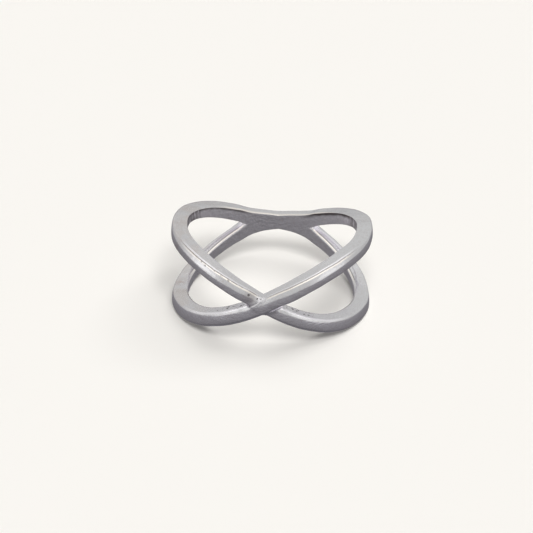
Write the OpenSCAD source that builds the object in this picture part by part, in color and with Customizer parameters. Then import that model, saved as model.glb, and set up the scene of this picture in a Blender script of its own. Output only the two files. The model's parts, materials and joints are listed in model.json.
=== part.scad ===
// Crossover ring: two plain silver bands that cross at the front and at the back of the finger,
// soldered where they meet, so the whole ring is one solid. It is modelled lying on its side,
// with the finger axis upright on +Z and the front crossing towards -Y. The origin is on the
// finger axis, in the plane that the two lower lobes rest on. Lengths are in millimetres.

/* [Finger hole] */
// Inside diameter, a US size 7
finger_d = 17.3; // [15:0.1:21]

/* [Height] */
// Overall height along the finger axis, from the lower lobes to the upper ones
ring_h = 8.8; // [7:0.1:12]
// Depth ground off the lobes to leave the flat lands that the ring rests on
land_depth = 0.04; // [0.01:0.01:0.1]

/* [Band width] */
// Width of a band at the back crossing, square to its run
back_w = 1.52; // [1.2:0.02:1.8]
// Width of a band at the lobes, where it is narrowest
lobe_w = 0.97; // [0.8:0.01:1.5]
// Width of a band at the front crossing
front_w = 1.8; // [1.4:0.05:2.4]

/* [Band thickness] */
// Thickness of a band at the back crossing, from the finger outwards
back_t = 1.2; // [1.1:0.02:1.6]
// Thickness of a band at the lobes
lobe_t = 1.64; // [1.4:0.02:2.2]
// Thickness that a lower lobe's rear arm would have without the swell of the upper ones
low_arm_t = 1.15; // [1.05:0.01:1.3]
// Thickness of a band at the front crossing
front_t = 1.38; // [1.2:0.02:2]

/* [Edges] */
// Radius of the lower outer edge at the back
back_edge_r = 0.12; // [0.05:0.01:0.3]
// Radius of the lower outer edge at the lobes
lobe_edge_r = 0.16; // [0.05:0.01:0.4]
// Radius of the lower outer edge at the front, where the bands are nearly half round
front_edge_r = 0.8; // [0.3:0.02:0.9]
// Size of the crisp edges on top, the outer one and the finger hole's
crisp_edge = 0.08; // [0.04:0.01:0.12]
// Width of the shoulder filed along the upper outer edge of the front arms
shoulder_w = 0.27; // [0.15:0.01:0.4]
// Height of that shoulder
shoulder_h = 0.57; // [0.3:0.01:0.7]
// Width of the worn edge of the finger hole on the rear arms that run down to the lower lobes
worn_w = 0.6; // [0.3:0.02:0.7]
// Height of that worn edge
worn_h = 0.3; // [0.15:0.01:0.4]

/* [Handwork] */
// How far the outer face leans in at its top, as a share of half the band's width
face_lean = 0.3; // [0:0.02:0.4]
// How far the top of a front arm falls towards its outer edge
front_fall = 0.12; // [0:0.01:0.2]
// How far the rear arms hang below the even path of the band
sag = 0.05; // [0:0.01:0.1]
// Extra height on top of the rear arms that run down to the lower lobes
low_arm_rise = 0.15; // [0:0.01:0.25]

/* [Crossings] */
// How far the over band stands proud of the under band at the front crossing
over_step = 0.24; // [0.1:0.02:0.4]
// The same at the back crossing, where the bands are filed nearly flush
flush_step = 0.06; // [0.04:0.01:0.15]

/* [Hidden] */

// Sections of a band by its turn from the back crossing. Lift is a share of the lobe's rise.
// Back and wide say how far the width goes from the lobe's to the back's and to the front's,
// and soft does the same for the edge radius. Stout says how far the thickness goes from the
// crossing's to the lobe's, and past 1 where the band swells. Low is how much of the lobe's
// thickness is missing on the arms that run down to the lower lobes. High and under say how
// much of the shoulder the upper arms and those below the middle have. Worn is how much of
// the worn edge, and drop how much of the sag, there is: at the front, on the lower arms only.
columns = ["turn", "lift", "back", "wide", "stout", "low", "soft", "high", "under", "worn", "drop"];
sections = [
    [0, 0, 1.15, 0, 0, 0, 0, 0, 0, 0.15, -0.8],
    [15, 0.095, 1.1, 0, 0.2, 0.1, 0, 0, 0, 0.3, 0],
    [30, 0.325, 0.8, 0, 0.9, 0.8, 0, 0, 0, 0.8, 0.8],
    [45, 0.561, 0.6, 0, 1.5, 1.5, 0, 0, 0, 1, 1],
    [60, 0.76, 0.4, 0, 1.6, 1.3, 0.02, 0, 0, 1, 1],
    [75, 0.905, 0.15, 0.03, 1.3, 0.7, 0.08, 0, 0, 0.6, 0.6],
    [90, 0.985, 0, 0.16, 1, 0.15, 0.16, 0.1, 0, 0.15, 0],
    [105, 0.95, 0, 0.44, 1.05, 0, 0.32, 0.32, 0, 0, -0.2],
    [120, 0.921, 0, 0.66, 1.15, 0, 0.5, 0.6, 0.04, 0, -1.4],
    [135, 0.813, 0, 0.79, 1.2, 0, 0.68, 0.85, 0.12, 0, -1.6],
    [150, 0.612, 0, 0.87, 1.05, 0, 0.84, 1, 0.28, 0, -1.6],
    [165, 0.329, 0, 0.96, 0.6, 0, 0.95, 0.95, 0.5, 0, -0.8],
    [180, 0, 0, 1, 0, 0, 1, 0.8, 0.8, 0, 0]
];
last_row = len(sections) - 1;
row_step = cell(1, "turn") - cell(0, "turn");

ring_count = 96;
corner_steps = 3;
// Height of the rounded lower edge for its width, and how far it is filed towards a flat
edge_depth = 0.7;
edge_bevel = 0.65;
shoulder_bevel = 0.85;
// Share of the outer face's height at which it stands upright
upright_share = 0.2;
// Turn over which the over band climbs onto the under band, either side of the crossing
climb_turn = 45;
// Stock left inside the finger hole's wall, which the bore removes
bore_stock = 0.2;
// Cutters reach this far past what they cut
past = 1;
// An outer edge's radius stays under this share of half the width and of the thickness
edge_limit = 0.9;

finger_r = finger_d / 2;
lobe_rise = ring_h / 2 + land_depth - lobe_w / 2;

function cell(row, column) = sections[row][search([column], columns)[0]];

// A table value read past either crossing: lift changes sign there, and the rest repeats
function row_value(i, column) =
    let(past_sign = column == "lift" ? -1 : 1)
    i < 0 ? past_sign * cell(-i, column)
    : i > last_row ? past_sign * cell(2 * last_row - i, column)
    : cell(i, column);

// Smooth curve through four neighbouring table values
function smooth(a, b, c, d, f) =
    b + 0.5 * f * (c - a + f * (2 * a - 5 * b + 4 * c - d + f * (3 * (b - c) + d - a)));

function at_turn(turn, column) =
    let(x = abs(turn) / row_step, i = min(floor(x), last_row - 1))
    smooth(row_value(i - 1, column), row_value(i, column), row_value(i + 1, column),
        row_value(i + 2, column), x - i);

// A size at a turn, from its named values at the back, the lobes and the front
function blend(turn, back, lobe, front, front_column) =
    lobe + (back - lobe) * at_turn(turn, "back") + (front - lobe) * at_turn(turn, front_column);

// Thickness at a turn. Low is true on the half of a band that hangs below the middle.
function thickness(turn, low) =
    let(end_t = abs(turn) < 90 ? back_t : front_t)
    end_t + (lobe_t - end_t) * at_turn(turn, "stout")
    + (low ? (low_arm_t - lobe_t) * at_turn(turn, "low") : 0);

// Height of a band's middle over the crossings
function lift(turn) = sign(turn) * lobe_rise * at_turn(turn, "lift");

// Rise of a band for each length of its run
function slope(turn) =
    let(step = 0.5, run = 2 * step * PI / 180 * (finger_r + lobe_t / 2))
    (lobe_rise * (at_turn(abs(turn) + step, "lift") - at_turn(abs(turn) - step, "lift"))) / run;

// How near a turn is to the front crossing, from 0 to 1
function near_front(turn) =
    let(away = min(1, (180 - abs(turn)) / climb_turn))
    (1 + cos(180 * away)) / 2;

function near_back(turn) =
    let(away = min(1, abs(turn) / climb_turn))
    (1 + cos(180 * away)) / 2;

// Half of each step goes on the over band and half comes off the under band
function step_out(turn, side) =
    side / 2 * (over_step * near_front(turn) + flush_step * near_back(turn));

// Quarter of an oval round a corner's middle, filed by its bevel towards the straight chord
function corner(x, z, w, h, start, bevel) =
    [for (k = [0:corner_steps])
        let(
            share = k / corner_steps,
            a = start + 90 * share,
            chord = [cos(start), sin(start)] * (1 - share) + [cos(start + 90), sin(start + 90)] * share,
            p = [cos(a), sin(a)] * (1 - bevel) + chord * bevel
        )
        [x + w * p.x, z + h * p.y]];

// A point of the section as the handwork leaves it: the face leans in and the top falls
function by_hand(p, t, half_h, fall, drop) =
    let(
        reach = max(0, p.x - finger_r) / t,
        tall = p.y / half_h / 2 + 0.5,
        lean = face_lean * half_h * pow(tall - upright_share, 2) * reach * reach
    )
    [p.x - lean, p.y - fall * tall * reach - drop];

// Outline of a band's section: radius from the finger axis and height from the band's middle
function section_outline(turn, side) =
    let(
        hangs = side * turn < 0,
        worn = at_turn(turn, "worn") * (hangs ? 1 : 0),
        rise = low_arm_rise / 2 * worn,
        w = blend(turn, back_w, lobe_w, front_w, "wide"),
        half_h = w / 2 * sqrt(1 + pow(slope(turn), 2)) + rise,
        t = thickness(turn, hangs) + step_out(turn, side),
        out_r = finger_r + t,
        edge_r = blend(turn, back_edge_r, lobe_edge_r, front_edge_r, "soft"),
        edge = min(edge_r, edge_limit * half_h, edge_limit * t),
        shoulder = at_turn(turn, hangs ? "under" : "high"),
        top_w = crisp_edge + shoulder * (shoulder_w - crisp_edge),
        top_h = crisp_edge + shoulder * (shoulder_h - crisp_edge),
        hole_w = crisp_edge + worn * (worn_w - crisp_edge),
        hole_h = crisp_edge + worn * (worn_h - crisp_edge),
        in_r = finger_r - bore_stock * (1 + flush_step * side),
        fall = front_fall * at_turn(turn, "soft"),
        drop = sag * at_turn(turn, "drop") * (abs(turn) < 90 || hangs ? 1 : 0) - rise,
        stock_h = hole_h * (finger_r + hole_w - in_r) / hole_w,
        outline = concat(
            [[in_r, -half_h]],
            corner(out_r - edge, edge_depth * edge - half_h, edge, edge_depth * edge, -90, edge_bevel),
            corner(out_r - top_w, half_h - top_h, top_w, top_h, 0, shoulder_bevel),
            [[finger_r + hole_w, half_h], [in_r, half_h - stock_h]]
        )
    )
    [for (p = outline) by_hand(p, t, half_h, fall, drop)];

// One band: side is 1 for the over band and -1 for the under band, which is its mirror
module swept_band(side) {
    turns = [for (i = [0:ring_count - 1]) -180 + 360 * i / ring_count];
    outlines = [for (turn = turns) section_outline(turn, side)];
    count = len(outlines[0]);
    points = [for (i = [0:ring_count - 1]) for (p = outlines[i])
        [p.x * sin(turns[i]), p.x * cos(turns[i]), p.y + side * lift(turns[i])]];
    faces = [for (i = [0:ring_count - 1]) for (j = [0:count - 1])
        let(
            a = i * count + j,
            b = i * count + (j + 1) % count,
            c = (i + 1) % ring_count * count + (j + 1) % count,
            d = (i + 1) % ring_count * count + j
        )
        each [[a, c, b], [a, d, c]]];
    polyhedron(points = points, faces = faces, convexity = 6);
}

module crossover_band() {
    out_r = finger_r + 2 * max(back_t, lobe_t, front_t);
    color("silver")
    translate([0, 0, ring_h / 2])
    difference() {
        intersection() {
            union() {
                swept_band(1);
                swept_band(-1);
            }
            cylinder(h = ring_h, r = out_r, center = true, $fn = 96);
        }
        cylinder(h = ring_h + 2 * past, r = finger_r, center = true, $fn = 192);
    }
}

crossover_band();
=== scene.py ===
# %% [markdown]
# # A crossover ring in satin silver
# Two plain bands cross at the front and at the back of the finger and part at the sides.
# The real ring is soldered into one piece, so one mesh stands for it here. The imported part
# says where it is and how large, and this script gives it its looks: true rounded edges,
# solder fillets, worn silver, a pale floor and soft light.

# %% Load the frame
import json
import math
import bpy
from mathutils import Matrix, Vector


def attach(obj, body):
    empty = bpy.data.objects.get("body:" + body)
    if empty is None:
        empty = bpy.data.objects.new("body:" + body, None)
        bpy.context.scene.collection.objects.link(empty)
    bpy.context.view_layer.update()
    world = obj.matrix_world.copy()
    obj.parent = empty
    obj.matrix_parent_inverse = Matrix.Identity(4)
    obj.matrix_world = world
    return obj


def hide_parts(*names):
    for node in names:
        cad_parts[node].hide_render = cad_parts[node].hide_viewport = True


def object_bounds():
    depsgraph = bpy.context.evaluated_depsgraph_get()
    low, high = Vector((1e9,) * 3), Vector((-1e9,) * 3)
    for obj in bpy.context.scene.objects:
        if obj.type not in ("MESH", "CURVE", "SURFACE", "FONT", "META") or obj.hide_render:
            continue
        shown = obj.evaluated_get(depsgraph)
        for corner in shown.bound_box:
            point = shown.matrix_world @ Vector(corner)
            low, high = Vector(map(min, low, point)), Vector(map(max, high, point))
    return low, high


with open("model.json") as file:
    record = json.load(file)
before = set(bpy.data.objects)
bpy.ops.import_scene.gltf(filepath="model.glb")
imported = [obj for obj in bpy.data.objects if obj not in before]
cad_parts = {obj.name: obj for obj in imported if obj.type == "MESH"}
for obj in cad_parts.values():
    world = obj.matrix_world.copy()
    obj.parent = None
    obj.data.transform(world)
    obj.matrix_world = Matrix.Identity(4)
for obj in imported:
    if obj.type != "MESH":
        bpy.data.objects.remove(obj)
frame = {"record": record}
cad_low, cad_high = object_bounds()
record = frame["record"]
MM = 0.001
finger_r = next(m for m in record["mounts"] if m["name"] == "finger_hole")["dims"]["r_mm"]
ring_h = (cad_high.z - cad_low.z) / MM
print(f"finger radius {finger_r:.2f} mm, ring height {ring_h:.2f} mm")

# %% [markdown]
# ## Sums with sockets
# A node tree is a sum drawn as boxes. It could be wired box by box, but a long sum is easier
# to read as a sum. So a small class wraps a socket, and each operator adds its Math node. Any
# other node comes from one method, which sets the node's settings first and then its sockets.

# %% Stops and points
def set_stops(node, stops):
    """Stops of a Color Ramp, each a place and a grey or a colour."""
    ramp = node.color_ramp
    for i, (place, shade) in enumerate(stops):
        stop = ramp.elements[i] if i < len(ramp.elements) else ramp.elements.new(place)
        stop.position = place
        stop.color = (*shade, 1) if isinstance(shade, tuple) else (shade, shade, shade, 1)


def set_points(node, points):
    """Points of a Float Curve, in order."""
    line = node.mapping.curves[0]
    node.mapping.use_clip = False
    for x, y in points[1:-1]:
        line.points.new(x, y)
    line.points[0].location = points[0]
    line.points[len(points) - 1].location = points[-1]
    node.mapping.update()


# %% A socket as a number
class Value:
    """A socket that adds, multiplies and compares as a number does."""

    def __init__(self, nodes, socket):
        self.nodes, self.socket = nodes, socket

    def out(self, name):
        return Value(self.nodes, self.socket.node.outputs[name])

    def __add__(self, other):
        return self.nodes.math("ADD", self, other)

    def __sub__(self, other):
        return self.nodes.math("SUBTRACT", self, other)

    def __rsub__(self, other):
        return self.nodes.math("SUBTRACT", other, self)

    def __mul__(self, other):
        return self.nodes.math("MULTIPLY", self, other)

    def __truediv__(self, other):
        return self.nodes.math("DIVIDE", self, other)

    def __pow__(self, other):
        return self.nodes.math("POWER", self, other)

    def __lt__(self, other):
        return self.nodes.math("LESS_THAN", self, other)

    def __gt__(self, other):
        return self.nodes.math("GREATER_THAN", self, other)

    __radd__ = __add__
    __rmul__ = __mul__


# %% A tree that grows node by node
class Nodes:
    """A node tree, with one method that adds any node to it."""

    def __init__(self, tree):
        self.tree = tree

    def add(self, kind, settings=None, sockets=None, out=0):
        node = self.tree.nodes.new(kind)
        for name, value in (settings or {}).items():
            if name == "stops":
                set_stops(node, value)
            elif name == "points":
                set_points(node, value)
            else:
                setattr(node, name, value)
        for name, value in (sockets or {}).items():
            self.feed(node.inputs[name], value)
        return Value(self, node.outputs[out]) if len(node.outputs) else node

    def feed(self, socket, value):
        if isinstance(value, (list, tuple)) and value and isinstance(value[0], Value):
            for item in value:
                self.tree.links.new(item.socket, socket)
        elif isinstance(value, Value):
            self.tree.links.new(value.socket, socket)
        else:
            socket.default_value = value

    def math(self, operation, *values):
        return self.add("ShaderNodeMath", {"operation": operation}, dict(enumerate(values)))

    def vector(self, operation, *values, out="Vector"):
        return self.add("ShaderNodeVectorMath", {"operation": operation},
                        dict(enumerate(values)), out)

    def xyz(self, x, y, z):
        return self.add("ShaderNodeCombineXYZ", None, {"X": x, "Y": y, "Z": z})

    def split(self, value):
        node = self.add("ShaderNodeSeparateXYZ", None, {0: value})
        return node.out("X"), node.out("Y"), node.out("Z")

    def clamp(self, value, low=0, high=1):
        return self.add("ShaderNodeClamp", None, {"Value": value, "Min": low, "Max": high})

    def ease(self, value, low, high):
        """0 below low and 1 above high, with a smooth way between."""
        return self.add("ShaderNodeMapRange", {"interpolation_type": "SMOOTHSTEP"},
                        {"Value": value, "From Min": low, "From Max": high})

    def between(self, value, low, high, soft):
        """1 from low to high, and 0 beyond them by more than the soft width."""
        return self.ease(value, low - soft, low) * (1 - self.ease(value, high, high + soft))

    def tint(self, colour, other, share):
        """The colour, with a share of the other one laid over it."""
        return self.add("ShaderNodeMix", {"data_type": "RGBA"},
                        {0: share, 6: colour, 7: other}, 2)


def grown(nodes, what):
    """Say how large a tree has grown."""
    print(f"{what}: {len(nodes.tree.nodes)} nodes so far")


# %% [markdown]
# ## The band's sizes
# The goldsmith draws each band narrow at the lobes, wider at the crossings, and nearly half
# round at the front. These sizes could be typed into a mesh point by point. As named inputs
# of a Geometry Nodes tree, in millimetres, they can be changed without touching the tree.

# %% Sizes
SIZES = {
    "Finger radius": finger_r,
    "Ring height": ring_h,
    "Land depth": 0.04,
    "Back width": 1.52,
    "Lobe width": 0.97,
    "Front width": 1.8,
    "Back thickness": 1.2,
    "Lobe thickness": 1.64,
    "Low arm thickness": 1.15,
    "Low arm difference": 0.08,
    "Low arm rise": 0.15,
    "Under band width": 0.96,
    "Front thickness": 1.38,
    "Back edge radius": 0.12,
    "Lobe edge radius": 0.16,
    "Front edge radius": 0.8,
    "Edge depth share": 0.7,
    "Edge bevel": 0.65,
    "Crisp edge": 0.07,
    "Shoulder width": 0.27,
    "Shoulder height": 0.57,
    "Shoulder bevel": 0.85,
    "Face lean": 0.3,
    "Front fall": 0.12,
    "Sag": 0.05,
    "Inner edge radius": 0.08,
    "Worn edge depth": 0.3,
    "Worn edge width": 0.6,
    "Worn edge bevel": 0.85,
    "Over step": 0.24,
    "Flush step": 0.06,
    "Wall offset": 0.001,
    "Front fillet": 0.32,
    "Back fillet": 0.14,
    "Land softness": 0.03,
    "Unevenness": 0.012,
}
print(f"{len(SIZES)} named sizes")

# %% [markdown]
# ## How the section runs
# Nothing on the band changes in jumps. Each line of the table says how one thing runs from
# the back crossing to the front one, in steps of 15 degrees: how high the band lies, how near
# its width is to the back's and to the front's, how thick it is, how much an arm that runs
# down is thinned, how round and how worn its edges are, how much it sags, and how much of
# the filed shoulder an arm has that runs up, or down. All are shares of the named sizes. A
# few sections joined by straight stretches would show their joints, so each line becomes a
# smooth curve.

# %% Sections
STEP = 15
SECTIONS = {
    "lift": [0, 0.095, 0.325, 0.561, 0.76, 0.905, 0.985, 0.95, 0.921, 0.813, 0.612, 0.329, 0],
    "back": [1.15, 1.1, 0.8, 0.6, 0.4, 0.15, 0, 0, 0, 0, 0, 0, 0],
    "wide": [0, 0, 0, 0, 0, 0.03, 0.16, 0.44, 0.66, 0.79, 0.87, 0.96, 1],
    "stout": [0, 0.2, 0.9, 1.5, 1.6, 1.3, 1, 1.05, 1.15, 1.2, 1.05, 0.6, 0],
    "low": [0, 0.1, 0.8, 1.5, 1.3, 0.7, 0.15, 0, 0, 0, 0, 0, 0],
    "soft": [0, 0, 0, 0, 0.02, 0.08, 0.16, 0.32, 0.5, 0.68, 0.84, 0.95, 1],
    "worn": [0.15, 0.3, 0.8, 1, 1, 0.6, 0.15, 0, 0, 0, 0, 0, 0],
    "sag": [-0.8, 0, 0.8, 1, 1, 0.6, 0, -0.2, -1.4, -1.6, -1.6, -0.8, 0],
    "shoulder": [0, 0, 0, 0, 0, 0, 0.1, 0.32, 0.6, 0.85, 1, 0.95, 0.8],
    "low shoulder": [0, 0, 0, 0, 0, 0, 0, 0, 0.04, 0.12, 0.28, 0.5, 0.8],
}
steps = {len(row) for row in SECTIONS.values()}
print(f"{len(SECTIONS)} lines of {steps} steps, {STEP} degrees apart")


# %% A line as a curve
def column(nodes, name, turn):
    """A line of the table as a smooth curve of the turn. It runs on past both crossings."""
    rows = SECTIONS[name]
    sign = -1 if name == "lift" else 1
    rows = [sign * rows[1], *rows, sign * rows[-2]]
    reach = STEP * (len(rows) - 1)
    points = [(STEP * i / reach, value) for i, value in enumerate(rows)]
    return nodes.add("ShaderNodeFloatCurve", {"points": points},
                     {"Value": (turn + STEP) / reach})


# %% [markdown]
# ## One band
# A circle swept along a circle gives a ring of quads whose points are numbered in order. Each
# point's number then says its turn round the finger and its place on the section, and the
# sums below move it there. A plain sweep would keep one section all the way round. This way
# the section can change along the band. Side is 1 for the over band and -1 for the under one.

# %% Start the band's tree
def new_tree(name, sizes):
    tree = bpy.data.node_groups.new(name, "GeometryNodeTree")
    for label, value in sizes.items():
        socket = tree.interface.new_socket(label, in_out="INPUT", socket_type="NodeSocketFloat")
        socket.default_value = value
    tree.interface.new_socket("Geometry", in_out="OUTPUT", socket_type="NodeSocketGeometry")
    return tree


band = new_tree("Band", {"Side": 1.0, **SIZES})
n = Nodes(band)
inputs = n.add("NodeGroupInput")
size = {label: inputs.out(label) for label in ["Side", *SIZES]}
side = size["Side"]
print(f"the band's tree has {len(size)} inputs")

# %% Number the points
RINGS = 480
CORNER_STEPS = 8
SIDE_STEPS = 8
QUARTER = CORNER_STEPS + SIDE_STEPS
AROUND = 4 * QUARTER
path = n.add("GeometryNodeCurvePrimitiveCircle", None, {"Resolution": RINGS})
profile = n.add("GeometryNodeCurvePrimitiveCircle", None, {"Resolution": AROUND, "Radius": 0.1})
hoop = n.add("GeometryNodeCurveToMesh", None, {"Curve": path, "Profile Curve": profile})
index = n.add("GeometryNodeInputIndex")
row = n.math("FLOOR", (index + 0.5) / AROUND)
place = index - row * AROUND
turn = row * (360 / RINGS) - 180
away = n.math("ABSOLUTE", turn)
share = {name: column(n, name, away) for name in SECTIONS}
print(f"{RINGS} sections of {AROUND} points")

# %% [markdown]
# ### Up and down
# Seen from above the band is round, and seen from the side it climbs over one half of the
# finger and dips under at the other. The section stands upright, so it would look thin on a
# steep stretch. Its height grows with the slope to make up for that, and the slope is
# measured over half a degree each way.

# %% Lift the band
PROBE = 0.5
rise = size["Ring height"] / 2 + size["Land depth"] - size["Lobe width"] / 2
lift = n.math("SIGN", turn) * rise * share["lift"]
run = (size["Finger radius"] + size["Lobe thickness"] / 2) * (2 * PROBE * math.pi / 180)
climb = (column(n, "lift", away + PROBE) - column(n, "lift", away - PROBE)) * rise / run
grown(n, "lift")

# %% [markdown]
# ### Width and thickness
# Seen from above the lobes are narrow and stout, and the crossings wide and flat. The rear
# arms that hang down to the lower lobes are thinner, from wear. At a crossing the over band
# stands proud of the under one by a step. Two bands of one thickness would lose that step,
# so half of it is added to one band and half is taken from the other.

# %% Width and thickness
CLIMB_TURN = 45


def blend(what, to_back, to_front):
    """A size that goes from the lobe's to the back's and to the front's."""
    back, lobe, front = (size[f"{end} {what}"] for end in ("Back", "Lobe", "Front"))
    return lobe + (back - lobe) * share[to_back] + (front - lobe) * share[to_front]


def near(distance):
    """1 at a crossing and 0 where the over band starts to climb."""
    return n.math("COSINE", n.clamp(distance / CLIMB_TURN) * math.pi) * 0.5 + 0.5


hangs = side * turn < 0
half_h = blend("width", "back", "wide") / 2 * n.math("SQRT", climb * climb + 1)
slim = (side < 0) * share["soft"] * (1 - size["Under band width"])
raised = size["Low arm rise"] / 2 * share["worn"] * hangs
half_h = half_h * (1 - slim) + raised
end_t = size["Front thickness"] + (size["Back thickness"] - size["Front thickness"]) * (away < 90)
thick = end_t + (size["Lobe thickness"] - end_t) * share["stout"]
low_t = size["Low arm thickness"] - size["Low arm difference"] * side
thick = thick + hangs * share["low"] * (low_t - size["Lobe thickness"])
proud = size["Over step"] * near(180 - away) + size["Flush step"] * near(away)
thick = thick + side * 0.5 * proud
grown(n, "width and thickness")

# %% [markdown]
# ### Four corners
# The section is a box with four rounded corners: the lower outer edge, the upper outer edge
# with the filed shoulder, the upper inner edge with its wear, and the lower inner edge. A
# point's place says whose quarter it lies in, and how far along the corner or along the
# straight side after it. A Bevel modifier would round all edges alike, but here each corner
# has its own width and height, and they change round the ring.

# %% Find the quarter
def mixed(picks, *values):
    """The value whose pick is 1."""
    total = picks[0] * values[0]
    for pick, value in zip(picks[1:], values[1:]):
        total = total + pick * value
    return total


quarter = n.math("FLOOR", (place + 0.5) / QUARTER)
along = place - quarter * QUARTER
corner = n.clamp(along / CORNER_STEPS)
straight = n.clamp((along - CORNER_STEPS) / SIDE_STEPS)
is_corner = [n.math("ABSOLUTE", quarter - i) < 0.5 for i in range(4)]
outer = is_corner[0] + is_corner[1]
top = (is_corner[1] + is_corner[2]) * 2 - 1

# %% Size the corners
EDGE_LIMIT = 0.9
HIGH_ARM_WEAR = 0.4
edge = n.math("MINIMUM", blend("edge radius", "back", "soft"), EDGE_LIMIT * half_h)
edge = n.math("MINIMUM", edge, EDGE_LIMIT * thick)
crisp, plain = size["Crisp edge"], size["Inner edge radius"]
shoulder = share["shoulder"] * (1 - hangs) + share["low shoulder"] * hangs
shoulder_w = crisp + shoulder * (size["Shoulder width"] - crisp)
shoulder_h = crisp + shoulder * (size["Shoulder height"] - crisp)
wear = share["worn"] * (hangs + HIGH_ARM_WEAR * (1 - hangs) * (side < 0))
worn_w = plain + wear * (size["Worn edge width"] - plain)
worn_h = plain + wear * (size["Worn edge depth"] - plain)
widths = [edge, shoulder_w, worn_w, plain]
heights = [edge * size["Edge depth share"], shoulder_h, worn_h, plain]
round_w, next_w = mixed(is_corner, *widths), mixed(is_corner, *widths[1:], widths[0])
round_h, next_h = mixed(is_corner, *heights), mixed(is_corner, *heights[1:], heights[0])
grown(n, "corners")

# %% [markdown]
# ### The outline
# A corner lies between an arc and its chord. The chord alone would be a file's flat cut, and
# the arc alone a machine's round. Real wear is somewhere between, and the bevel says where.

# %% Draw the outline
angle = (quarter + corner - 1) * (math.pi / 2)
aim = quarter * (math.pi / 2)
start = aim - math.pi / 2
cos_a, sin_a = n.math("COSINE", angle), n.math("SINE", angle)
chord_x = n.math("COSINE", start) * (1 - corner) + n.math("COSINE", aim) * corner
chord_y = n.math("SINE", start) * (1 - corner) + n.math("SINE", aim) * corner
bevel = size["Edge bevel"] * is_corner[0] + size["Shoulder bevel"] * is_corner[1]
bevel = bevel + size["Worn edge bevel"] * wear * is_corner[2]
cos_a = cos_a + (chord_x - cos_a) * bevel
sin_a = sin_a + (chord_y - sin_a) * bevel
u = outer * thick - (outer * 2 - 1) * round_w + round_w * cos_a
u = u - n.math("SINE", aim) * straight * (thick - round_w - next_w)
v = top * (half_h - round_h) + round_h * sin_a
v = v + n.math("COSINE", aim) * straight * (half_h * 2 - round_h - next_h)
grown(n, "outline")

# %% [markdown]
# ### Marks for the finish
# The finish needs to know three things of a point: how far it lies from the finger's wall,
# how far below the band's top, and how far from the filed crease. They could be painted by
# hand. The tree already knows them, so it writes them on the points, and they stay right when
# a size changes. Away from the top the crease is simply far, 9 mm.

# %% Measure the marks
FAR = 9
slant = n.math("SQRT", shoulder_w * shoulder_w + shoulder_h * shoulder_h)
ridge = (1 - corner) * slant - straight * (thick - shoulder_w - worn_w)
ridge = ridge * is_corner[1] + FAR * is_corner[0] - FAR * is_corner[2] - FAR * is_corner[3]
below = half_h - v

# %% [markdown]
# ### Lean, fall and sag
# A hand-made band is never quite square. Its outer face leans in at the top, its top falls
# outwards at the front, and its middle line sags a little between the crossings. These small
# sums bend the box as the hammer did.

# %% Bend the section and place it
LEAN_START = 0.2
reach = u / thick
tall = v / half_h * 0.5 + 0.5
u = u - size["Face lean"] * half_h * (tall - LEAN_START) ** 2 * reach * reach
v = v - size["Front fall"] * share["soft"] * tall * reach
v = v - size["Sag"] * share["sag"] * (1 - (away > 90) * (1 - hangs)) + raised

r = size["Finger radius"] + size["Wall offset"] * (1 - side) + u
radians = turn * (math.pi / 180)
z = size["Ring height"] / 2 + side * lift + v
goal = n.xyz(r * n.math("SINE", radians), r * n.math("COSINE", radians), z)
hoop = n.add("GeometryNodeSetPosition", None, {"Geometry": hoop, "Position": goal})
grown(n, "place")


# %% Write the marks
def store(nodes, geometry, label, value):
    """The geometry, with a named number written on each point."""
    return nodes.add("GeometryNodeStoreNamedAttribute", {"data_type": "FLOAT", "domain": "POINT"},
                     {"Geometry": geometry, "Name": label, "Value": value})


MARKS = {"inward": u, "below_top": below, "ridge": ridge}
for label, value in MARKS.items():
    hoop = store(n, hoop, label, value)
n.add("NodeGroupOutput", None, {"Geometry": hoop})
print(f"the band's tree has {len(band.nodes)} nodes")

# %% [markdown]
# ## Filed by hand
# A file leaves low waves that a machine wouldn't. They could be sculpted. Noise that moves
# each point along its normal is quicker and comes out the same each time. The wall of the
# finger hole stays still, because it was reamed round.

# %% Start the ring's tree
ring_nodes = new_tree("Crossover ring", SIZES)
n = Nodes(ring_nodes)
inputs = n.add("NodeGroupInput")
size = {label: inputs.out(label) for label in SIZES}
position = n.add("GeometryNodeInputPosition")


def named(label):
    return n.add("GeometryNodeInputNamedAttribute", {"data_type": "FLOAT"}, {"Name": label},
                 "Attribute")


def moved(ring, depth):
    """The ring, with each point moved so far along its normal."""
    push = n.add("ShaderNodeVectorMath", {"operation": "SCALE"},
                 {0: n.add("GeometryNodeInputNormal"), "Scale": depth}, "Vector")
    return n.add("GeometryNodeSetPosition", None, {"Geometry": ring, "Offset": push})


# %% File both bands
FILE_WAVES = {"Scale": 0.42, "Detail": 1.5, "Roughness": 0.45}


def filed(side):
    """A band with low waves all over but on its wall."""
    ring = n.add("GeometryNodeGroup", {"node_tree": band}, {"Side": side, **size})
    waves = n.add("ShaderNodeTexNoise", {"noise_dimensions": "3D"},
                  {"Vector": position, **FILE_WAVES}, "Fac")
    depth = (waves - 0.5) * size["Unevenness"] * 2 * n.ease(named("inward"), 0.05, 0.6)
    return moved(ring, depth)


over, under = filed(1.0), filed(-1.0)
grown(n, "two filed bands")

# %% [markdown]
# ## Two bands, soldered
# Solder runs into the corner where two bands meet and leaves a fillet. A bevel after the
# union would need clean edges there, and there are none. So each band swells towards the
# other as it comes near it, by just the rule that makes the two swellings meet without a
# crease: (sqrt(k) - sqrt(gap)) squared, up to a quarter of k, the size of the fillet. A
# boolean then joins them, as the solder does.

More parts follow.
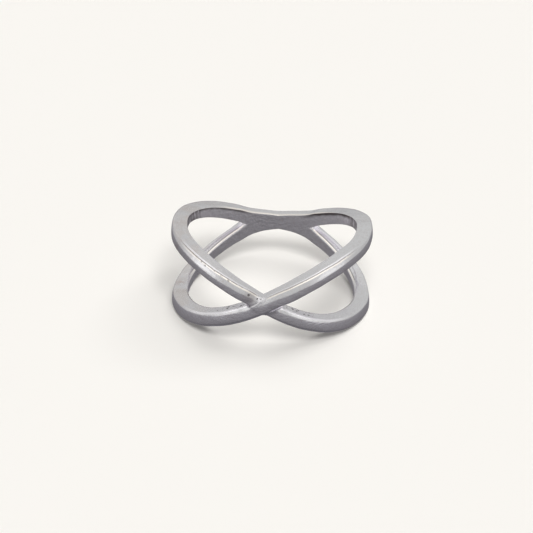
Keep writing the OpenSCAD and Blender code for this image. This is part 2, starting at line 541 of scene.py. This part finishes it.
# %% Solder them
def swelled(ring, other):
    """The ring swells where it comes near the other."""
    at_front = n.split(position)[1] < 0
    k = size["Back fillet"] + at_front * (size["Front fillet"] - size["Back fillet"])
    gap = n.add("GeometryNodeProximity", {"target_element": "FACES"}, {0: other}, "Distance")
    gap = n.clamp(gap, k / 4, k)
    swell = (n.math("SQRT", k) - n.math("SQRT", gap)) ** 2
    return moved(ring, swell * n.ease(named("inward"), 0.05, 0.35))


both = [swelled(over, under), swelled(under, over)]
ring = n.add("GeometryNodeMeshBoolean", {"operation": "UNION", "solver": "EXACT"},
             {"Mesh 2": both})
grown(n, "soldered")

# %% [markdown]
# ## Marks after the union
# A boolean makes new points along its seams and guesses their marks. Sampling both bands at
# the nearest place gives each point its true ones.

# %% Read the marks again
bands = n.add("GeometryNodeJoinGeometry", None, {"Geometry": both})
for label in MARKS:
    nearest = n.add("GeometryNodeSampleNearestSurface", {"data_type": "FLOAT"},
                    {"Mesh": bands, "Value": named(label), "Sample Position": position}, "Value")
    ring = store(n, ring, label, nearest)

# %% [markdown]
# ## The finger hole and the four lands
# The goldsmith reams the hole on a tapered rod and rubs the lobes flat on emery paper. Points
# close to the wall are set to exactly the finger's radius. The lobes are pressed flat with a
# soft limit, because a plain one, or a cut with a box, would leave an edge like a knife's.

# %% Ream and flatten
WALL_BAND = 0.004
x, y, z = n.split(position)
r = n.math("SQRT", x * x + y * y)
on_wall = n.math("ABSOLUTE", r - size["Finger radius"]) < WALL_BAND
scale = 1 + on_wall * (size["Finger radius"] / r - 1)
z = n.math("SMOOTH_MIN", z, size["Ring height"], size["Land softness"])
z = n.math("SMOOTH_MAX", z, 0, size["Land softness"])
goal = n.xyz(x * scale, y * scale, z)
ring = n.add("GeometryNodeSetPosition", None, {"Geometry": ring, "Position": goal})
grown(n, "hole and lands")

# %% Finish the ring's tree
silver = bpy.data.materials.new("satin_silver")
ring = n.add("GeometryNodeTransform", None, {"Geometry": ring, "Scale": (MM, MM, MM)})
ring = n.add("GeometryNodeSetShadeSmooth", None, {"Geometry": ring})
ring = store(n, ring, "facing_up", n.split(n.add("GeometryNodeInputNormal"))[2])
ring = n.add("GeometryNodeRealizeInstances", None, {"Geometry": ring})
ring = n.add("GeometryNodeSetMaterial", None, {"Geometry": ring, "Material": silver})
n.add("NodeGroupOutput", None, {"Geometry": ring})
print(f"the ring's tree has {len(ring_nodes.nodes)} nodes")

# %% [markdown]
# ## Worn silver
# The ring was filed, sanded and only lightly polished. A picture wrapped round it would
# carry its own light and stretch at the edges. So colour, shine and grain are sums of where a
# point lies: its turn round the finger, its height, and the marks on the mesh. Some of the
# colour is painted light and shade: highlights along edges and creases, shade in corners and
# under edges, and reflections on the wall. The lengths are in millimetres, and the turn is 0
# at the back crossing and 180 at the front one.

# %% Places on the ring
WALL_SKIN = 0.012
silver.use_nodes = True
metal = Nodes(silver.node_tree)
point = metal.vector("MULTIPLY", metal.add("ShaderNodeTexCoord", out="Object"), (1000, 1000, 1000))
px, py, pz = metal.split(point)
radius = metal.math("SQRT", px * px + py * py)
turn = metal.math("ARCTAN2", px, py) * (180 / math.pi)
away = metal.math("ABSOLUTE", turn)
height = pz - ring_h / 2
front = metal.ease(0 - py, 0.5, 2.5)
upper = metal.ease(height, 0.1, 0.5)
on_wall = radius < finger_r + WALL_SKIN


# %% Marks, noise and spots
def mark(label):
    return metal.add("ShaderNodeAttribute", {"attribute_name": label}, None, "Fac")


def noise(scale, detail=2.0, place=point):
    """Noise from 0 to 1 with so many lumps to a millimetre."""
    return metal.add("ShaderNodeTexNoise", {"noise_dimensions": "3D"},
                     {"Vector": place, "Scale": scale, "Detail": detail}, "Fac")


def spot(place, reach):
    """1 at a place on the ring, and 0 beyond its reach."""
    return 1 - metal.ease(metal.vector("DISTANCE", point, place, out="Value"), 0.0, reach)


ridge, below_top, inward = (mark(label) for label in ("ridge", "below_top", "inward"))
facing_up = metal.ease(mark("facing_up"), 0.45, 0.8)
grown(metal, "places")

# %% [markdown]
# ## Plain silver
# Silver shows its room more than a colour of its own. Yet no real piece is one even grey: it
# is clouded, and streaked where emery paper went round it. Noise that is stretched along the
# turn makes the streaks. The tops are also painted lighter and cooler towards the right and
# warmer on the left, as the light falls on them. Each tint below is laid over the last, like
# thin washes.

# %% Lay the plain silver
SILVER, WARM, COOL = (0.715, 0.71, 0.72, 1), (0.70, 0.66, 0.635, 1), (0.745, 0.745, 0.75, 1)
STAIN, DARK_GREY, NEAR_BLACK = (0.56, 0.47, 0.43, 1), (0.30, 0.25, 0.235, 1), (0.10, 0.085, 0.08, 1)
BRIGHT, CREAM, LILAC = (1, 0.98, 1, 1), (1, 0.95, 0.88, 1), (0.95, 0.93, 0.97, 1)
ARC = math.pi / 180 * finger_r
brushed = noise(5.0, 3.0, metal.xyz(turn * (0.15 * ARC), radius, pz))
cloudy = noise(0.5, 2.0)
grain = noise(7.0, 3.0)

# Painted light: the tops lighter and cooler towards the right.
colour = metal.tint(SILVER, COOL, metal.ease(px, -2, 8) * facing_up)
left_top = metal.ease(0 - px, 4, 8.5) * facing_up
# Painted light: the tops warmer on the left, in clouds.
colour = metal.tint(colour, WARM, left_top * metal.ease(cloudy, 0.35, 0.65) * 0.8)
colour = metal.tint(colour, COOL, metal.ease(brushed, 0.5, 0.75) * facing_up * 0.5)
colour = metal.tint(colour, BRIGHT, metal.ease(brushed, 0.55, 0.8) * facing_up * 0.25)
colour = metal.tint(colour, STAIN, metal.ease(grain, 0.45, 0.75) * 0.3)
# Painted reflection: the wall a little darker, mottled by noise.
colour = metal.tint(colour, DARK_GREY, on_wall * (0.03 + 0.12 * metal.ease(noise(3.2), 0.4, 0.7)))
grown(metal, "plain silver")

# %% [markdown]
# ## Stains
# Fingers leave warm stains that come and go. The photo shows them in a few places, mostly on
# the left lobes, so each gets a soft round spot there, broken up by noise. A stain all over
# would be less work, and less true.

# %% Lay the stains
STAINS = [
    ((-9.2, 3.4, 8.8), 1.5, 0.25),
    ((-9.4, -1.0, 8.7), 1.3, 0.2),
    ((-8.9, -4.6, 7.8), 1.5, 0.35),
    ((-9.6, 0.4, 1.0), 1.0, 0.4),
    ((-9.2, -1.8, 1.0), 0.9, 0.25),
    ((9.2, 2.2, 8.8), 1.0, 0.12),
    ((-7.3, -6.9, 8.45), 1.0, 0.5),
]
blotch = metal.ease(noise(1.6, 3.0), 0.35, 0.6)
for place, reach, strength in STAINS:
    colour = metal.tint(colour, STAIN, spot(place, reach) * blotch * strength * 1.6)
grown(metal, f"{len(STAINS)} stains")

# %% [markdown]
# ## The filed crease
# Along the upper front arms the filed shoulder meets the top in a crease. Its two edges are
# painted bright as highlight lines, and a thin dark line, broken by noise and cut a little
# into the bump, runs between them. They are too fine for the mesh, so they are bands of the
# ridge mark, which is 0 at the crease, more on the shoulder and less on the top. A slow
# wobble keeps them from looking ruled.

# %% Draw the crease
crease = metal.ease(away, 113, 132) * (1 - metal.ease(away, 175, 179))
line = ridge + (noise(1.4) - 0.5) * 0.1
inner_line = crease * upper * (1 - 0.6 * metal.ease(away, 132, 156))
outer_line = crease * upper * metal.ease(away, 116, 130)
# Painted highlights along both edges of the crease.
colour = metal.tint(colour, BRIGHT, metal.between(line, -0.36, -0.2, 0.1) * inner_line * 0.85)
colour = metal.tint(colour, CREAM, metal.between(line, 0.02, 0.15, 0.06) * outer_line)
# A thin dark line between the highlights, broken by noise.
dark_crease_line = metal.between(line, -0.1, -0.04, 0.05) * metal.ease(noise(2.5), 0.3, 0.45)
dark_crease_line = dark_crease_line * crease * upper
colour = metal.tint(colour, DARK_GREY, dark_crease_line * 0.85)
grown(metal, "crease")

# %% Painted highlights on the shoulder
# Painted highlight on the upper shoulders, stronger on the left.
shoulder_highlight = metal.between(ridge, 0.12, 0.45, 0.12) * metal.between(away, 130, 148, 9) * upper
colour = metal.tint(colour, BRIGHT, shoulder_highlight * (0.05 + 0.3 * (px < 0) + 0.4 * brushed))
low_front = front * (1 - upper)
# Painted highlight along the crease of the low front arms.
low_crease_highlight = metal.between(line, -0.16, 0.1, 0.12) * metal.ease(away, 120, 140) * low_front
colour = metal.tint(colour, BRIGHT, low_crease_highlight * 0.8)
grown(metal, "shoulder")

# %% [markdown]
# ## Painted light and shade at the wall's edges
# At the back the inner edge is painted with a bright highlight. In front, and just under the
# top edge of the wall, shade is painted in. An ambient occlusion node finds corners by itself,
# but it also sees the floor, so the lobes that lie on it would darken. The distance from the
# wall and from the band's top tells these edges from all others.

# %% Edges of the wall
back_top = (1 - metal.ease(away, 32, 48)) * metal.ease(height, 0.1, 0.4)
mid_back = metal.between(inward, 0.0, 0.4, 0.1) * (away < 24)
# Painted highlight along the inner edge at the back.
back_edge_highlight = metal.clamp(metal.between(inward, 0.0, 0.18, 0.06) + 0.25 * mid_back)
colour = metal.tint(colour, CREAM, back_edge_highlight * back_top * (1 - on_wall) * 0.9)
# Painted shade along the inner top edge of the low front arms, broken by noise.
front_edge_shade = metal.between(inward, 0.0, 0.1, 0.05) * facing_up
colour = metal.tint(colour, NEAR_BLACK, front_edge_shade * low_front * metal.ease(noise(2.2), 0.3, 0.5) * 0.7)

# Painted shade on the wall just under its top edge.
under_edge = on_wall * metal.ease(height, 0.3, 0.9) * metal.ease(away, 10, 30)
under_edge = under_edge * (1 - metal.ease(away, 80, 96))
near_top_edge = 1 - metal.ease(below_top + (noise(1.2) - 0.5) * 0.25, 0.15, 0.5)
colour = metal.tint(colour, NEAR_BLACK, under_edge * near_top_edge * 0.95)
grown(metal, "edges")

# %% [markdown]
# ## The ends of the lobes
# The wall at each lobe's end is dark and mottled, with upright streaks and a few glints, all
# reflections. Here they are painted: a dark tint, dark upright streaks and bright glints.
# Single streaks could be placed by hand. Noise that is stretched along the height makes many
# of them at once.

# %% Paint reflections on the lobes' walls
upright = metal.xyz(turn * ARC, 0, pz * 0.25)
streaks = metal.ease(noise(2.4, 3.0, upright), 0.42, 0.52)
glints = metal.ease(noise(3.4, 2.0, upright), 0.5, 0.58)
lobe_end = on_wall * metal.ease(away, 58, 72) * (1 - metal.ease(away, 112, 125))
lobe_end = lobe_end * metal.ease(height, 0, 1)
# Painted reflections: a dark tint, bright glints and dark streaks.
colour = metal.tint(colour, NEAR_BLACK, lobe_end * 0.52)
colour = metal.tint(colour, BRIGHT, lobe_end * glints * 0.5)
colour = metal.tint(colour, NEAR_BLACK, lobe_end * streaks * 0.7)
grown(metal, "lobes")

# %% [markdown]
# ## The lower rear arms
# Where the rear arms run down, their tops face the camera. They are worn to a flat, which is
# painted pale as a highlight, with a painted bright line along the inner edge and a thin dark
# line beside it. Again the distance from the wall says which is which.

# %% Line the rear arms
# Painted highlight and painted dark line on the tops of the low rear arms.
rear_low = metal.ease(py, 1.5, 3) * (1 - metal.ease(height, -0.5, 0)) * (1 - on_wall)
pale_highlight = metal.between(inward, 0.4, 0.8, 0.1) * (1 - metal.ease(away, 42, 60))
colour = metal.tint(colour, LILAC, rear_low * pale_highlight * (0.2 + 0.55 * (px > 0)))
colour = metal.tint(colour, CREAM, rear_low * metal.between(inward, 0.06, 0.16, 0.05) * 0.9)
colour = metal.tint(colour, NEAR_BLACK, rear_low * metal.between(inward, 0.2, 0.26, 0.05) * 0.45)
grown(metal, "rear arms")

# %% [markdown]
# ## Pits
# Where the metal was heated for soldering, gas left small pits, close to the front crossing
# and along the left crease. The cells of a Voronoi texture are such specks. Most are left
# out, and those that stay lie where the photo has pits.

# %% Strew the pits
cells = metal.add("ShaderNodeTexVoronoi", None, {"Vector": point, "Scale": 2.5}, "Distance")
pit = (1 - metal.ease(cells, 0.2, 0.42)) * metal.ease(noise(1.7), 0.42, 0.5)
by_solder = metal.between(away, 152, 168, 5) * (1 - upper) * facing_up
by_solder = by_solder * (1 - metal.ease(inward, 0.8, 1.05))
by_crease = metal.between(away, 142, 168, 8) * upper * (px < 0) * 0.55
by_crease = by_crease * metal.between(ridge, -0.1, 0.2, 0.08)
pit = pit * metal.math("MAXIMUM", by_solder, by_crease)
colour = metal.tint(colour, NEAR_BLACK, pit * 0.85)
grown(metal, "pits")

# %% [markdown]
# ## The solder knot
# In the corner of the front crossing sits a lumpy knot of solder, with bright flecks painted on
# it as glints, and three holes beside it. Shade is painted into the corner to its left. These
# are single things, so each has its own place.

# %% Drop the solder
CORNER_SHADE = (-1.3, -9.75, 5.35)
KNOT = (-0.3, -9.7, 5.32)
HOLES = [
    ((-1.43, -9.67, 5.68), 0.17),
    ((-0.56, -9.7, 5.34), 0.12),
    ((-0.13, -9.76, 5.22), 0.1),
]
# Painted shade in the corner by the crossing.
colour = metal.tint(colour, DARK_GREY, spot(CORNER_SHADE, 1.2) * 0.42)
knot = spot(KNOT, 0.7)
# Painted glints on the knot.
colour = metal.tint(colour, BRIGHT, knot * metal.ease(noise(4.0), 0.42, 0.52))
colour = metal.tint(colour, NEAR_BLACK, knot * metal.ease(noise(5.5), 0.56, 0.64) * 0.8)
hole = 0
for place, reach in HOLES:
    hole = spot(place, reach) + hole
hole = metal.ease(hole, 0.1, 0.5)
colour = metal.tint(colour, NEAR_BLACK, hole * 0.75)
grown(metal, "solder")

# %% [markdown]
# ## Shine
# The tops were sanded and stay duller than the worn edges, and the wall and the knot are
# duller still. One roughness for all would look cast, not worked.

# %% Colour and shine
shader = silver.node_tree.nodes["Principled BSDF"]
shader.inputs["Metallic"].default_value = 1.0
rough = 0.16 + 0.08 * cloudy + 0.1 * grain * facing_up + 0.12 * on_wall + 0.15 * knot
metal.feed(shader.inputs["Base Color"], colour)
metal.feed(shader.inputs["Roughness"], metal.clamp(rough, 0.1, 0.5))

# %% [markdown]
# ## Grain
# Low bumps spoil the reflections in the way that hand work does. They are about a tenth of a
# millimetre or less, too small for the mesh. Along the crease the bump also tips the surface,
# so that its two lines catch the light as rounded edges do.

# %% Bumps
relief = grain * 0.01 + brushed * 0.012 + noise(1.1) * 0.03 + noise(2.6) * 0.01
relief = relief + on_wall * noise(4.0, 3.0) * 0.035
relief = relief - pit * 0.03 - hole * 0.06
relief = relief - metal.ease(line, -0.36, -0.16) * inner_line * 0.08
relief = relief + metal.ease(line, 0.0, 0.17) * outer_line * 0.05
relief = relief + knot * noise(3.5) * 0.12 - dark_crease_line * 0.02
bump = metal.add("ShaderNodeBump", None,
                 {"Height": relief * MM, "Distance": 1.0, "Strength": 1.0}, "Normal")
metal.feed(shader.inputs["Normal"], bump)
grown(metal, "bumps")

# %% [markdown]
# ## The mesh itself
# The tree has done its work on an object that is thrown away. Its result is kept as a plain
# mesh with its place in its points, because that is what other programs can read. It rides
# on the part's one body and takes the place of its solid.

# %% Make the mesh
maker = bpy.data.objects.new("maker", bpy.data.meshes.new("maker"))
bpy.context.scene.collection.objects.link(maker)
maker.modifiers.new("ring", "NODES").node_group = ring_nodes
depsgraph = bpy.context.evaluated_depsgraph_get()
mesh = bpy.data.meshes.new_from_object(maker.evaluated_get(depsgraph))
bpy.data.objects.remove(maker)
silver_bands = bpy.data.objects.new("silver_bands", mesh)
bpy.context.scene.collection.objects.link(silver_bands)
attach(silver_bands, "root")
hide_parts("crossover_band")
print(f"the ring has {len(mesh.vertices)} points and {len(mesh.polygons)} faces")

# %% [markdown]
# ## The floor
# The ring lies on pale paper, and one big square is enough for that. It is matt and a little
# warm. A faint glow stands for the light that comes back from the studio's walls, which would
# take many bounces to work out. Reflections don't see the floor, so the tent alone shapes
# the metal.

# %% Lay the floor
HALF = 1.0
PAPER = (0.84, 0.818, 0.78, 1)
floor_mesh = bpy.data.meshes.new("floor")
corners = [(-HALF, -HALF, 0), (HALF, -HALF, 0), (HALF, HALF, 0), (-HALF, HALF, 0)]
floor_mesh.from_pydata(corners, [], [(0, 1, 2, 3)])
floor = bpy.data.objects.new("floor", floor_mesh)
bpy.context.scene.collection.objects.link(floor)
floor.visible_glossy = False

paper = bpy.data.materials.new("paper")
paper.use_nodes = True
paper_shader = paper.node_tree.nodes["Principled BSDF"]
paper_shader.inputs["Base Color"].default_value = PAPER
paper_shader.inputs["Roughness"].default_value = 0.9
paper_shader.inputs["Specular IOR Level"].default_value = 0
paper_shader.inputs["Emission Color"].default_value = PAPER
paper_shader.inputs["Emission Strength"].default_value = 0.13
floor_mesh.materials.append(paper)
print(f"the floor is {2 * HALF:.0f} m wide")

# %% [markdown]
# ## The room that the silver shows
# Metal is a mirror, so its room matters more than its lamps. A studio hangs a white tent over
# a ring: bright overhead, dim towards the table, with a soft box on each side. Real sheets
# and boxes could stand round the ring, but then they would shade the floor too. Here the
# world is the tent, as a ramp over the height of a ray, and only reflections see it. Light
# that has gone from metal to metal finds the table brighter than the first look does.

# %% Hang the tent
TENT = [
    (0, (0.17, 0.165, 0.185)), (0.24, (0.23, 0.22, 0.24)), (0.3, (0.27, 0.26, 0.28)),
    (0.4, (0.38, 0.37, 0.4)), (0.47, (0.48, 0.47, 0.49)), (0.51, 0.62), (0.56, 0.68),
    (0.72, 0.74), (0.88, 0.74), (0.94, 0.9), (1, 1.2),
]
world = bpy.data.worlds.new("tent")
bpy.context.scene.world = world
world.use_nodes = True
world.node_tree.nodes.clear()
tent = Nodes(world.node_tree)
wx, wy, wz = tent.split(tent.add("ShaderNodeTexCoord", None, None, "Generated"))
glow = tent.add("ShaderNodeValToRGB", {"stops": TENT}, {"Fac": wz * 0.5 + 0.5}, "Color")
to_box = tent.math("ABSOLUTE", wx) * 0.82 - wy * 0.53 + wz * 0.23
boxes = tent.ease(to_box, 0.9, 0.97)
ray = tent.add("ShaderNodeLightPath")
bounced = ray.out("Glossy Depth") > 1.5
strength = 0.95 + 0.5 * boxes + 3 * bounced * (wz < 0)
strength = strength * (1 - ray.out("Is Diffuse Ray"))
shine = tent.add("ShaderNodeBackground", None, {"Color": glow, "Strength": strength})
tent.add("ShaderNodeOutputWorld", None, {"Surface": shine})
print(f"the tent has {len(TENT)} shades from the table to the top")

# %% [markdown]
# ## The lamps
# Soft boxes light the floor and cast the ring's soft shadows. An area lamp fades with its
# distance and takes trial and error to place. A sun with a wide angle casts the same soft
# shadow, and two angles place it: how far to the side, and how high.

# %% Set the lamps
def towards(side_angle, up_angle):
    """The way from the ring to a place so many degrees to the side and up."""
    a, e = math.radians(side_angle), math.radians(up_angle)
    return Vector((math.sin(a) * math.cos(e), -math.cos(a) * math.cos(e), math.sin(e)))


# Name, degrees to the side, degrees up, strength, and width in degrees
LAMPS = [
    ("front_softbox", 14, 54, 1.9, 26),
    ("top_softbox", 60, 84, 0.5, 40),
    ("back_softbox", 145, 55, 1.32, 44),
]
for name, side_angle, up_angle, power, width in LAMPS:
    light = bpy.data.lights.new(name, "SUN")
    light.energy = power
    light.angle = math.radians(width)
    lamp = bpy.data.objects.new(name, light)
    lamp.location = towards(side_angle, up_angle) * 0.3
    lamp.rotation_mode = "QUATERNION"
    lamp.rotation_quaternion = towards(side_angle, up_angle).to_track_quat("Z", "Y")
    lamp.visible_glossy = False
    bpy.context.scene.collection.objects.link(lamp)
print(f"{len(LAMPS)} lamps")

# %% [markdown]
# ## The camera
# The photo looks down on the ring from 28 degrees above the floor and 5 degrees to the right,
# with a slight tilt. A constraint could aim the camera, but not tilt it, so its three axes
# are worked out from the angles. A long lens, 21 centimetres away, draws the far side hardly
# smaller than the near one, as the photo does. The small shift, in pixels of a frame of 533,
# puts the ring where the photo has it.

# %% Place the camera
SIDE_ANGLE, UP_ANGLE, TILT = 4.63, 28.45, 0.96
DISTANCE, LENS = 0.2127, 139.4
FRAME = 533
sight = -towards(SIDE_ANGLE, UP_ANGLE)
right = Vector((math.cos(math.radians(SIDE_ANGLE)), math.sin(math.radians(SIDE_ANGLE)), 0))
up = right.cross(sight)
tilt = math.radians(TILT)
tilted_right = right * math.cos(tilt) + up * math.sin(tilt)
tilted_up = up * math.cos(tilt) - right * math.sin(tilt)
middle = Vector((0, 0, ring_h * MM / 2))
axes = Matrix((tilted_right, tilted_up, -sight)).transposed().to_4x4()
camera = bpy.data.objects.new("camera", bpy.data.cameras.new("camera"))
bpy.context.scene.collection.objects.link(camera)
camera.matrix_world = Matrix.Translation(middle - sight * DISTANCE) @ axes
camera.data.lens = LENS
camera.data.sensor_width = 36
camera.data.shift_x = -5.04 / FRAME
camera.data.shift_y = -5.43 / FRAME
camera.data.clip_start = 0.01
bpy.context.scene.camera = camera
bpy.context.scene.view_settings.view_transform = "Standard"
print(f"the camera is {DISTANCE * 100:.0f} cm away")
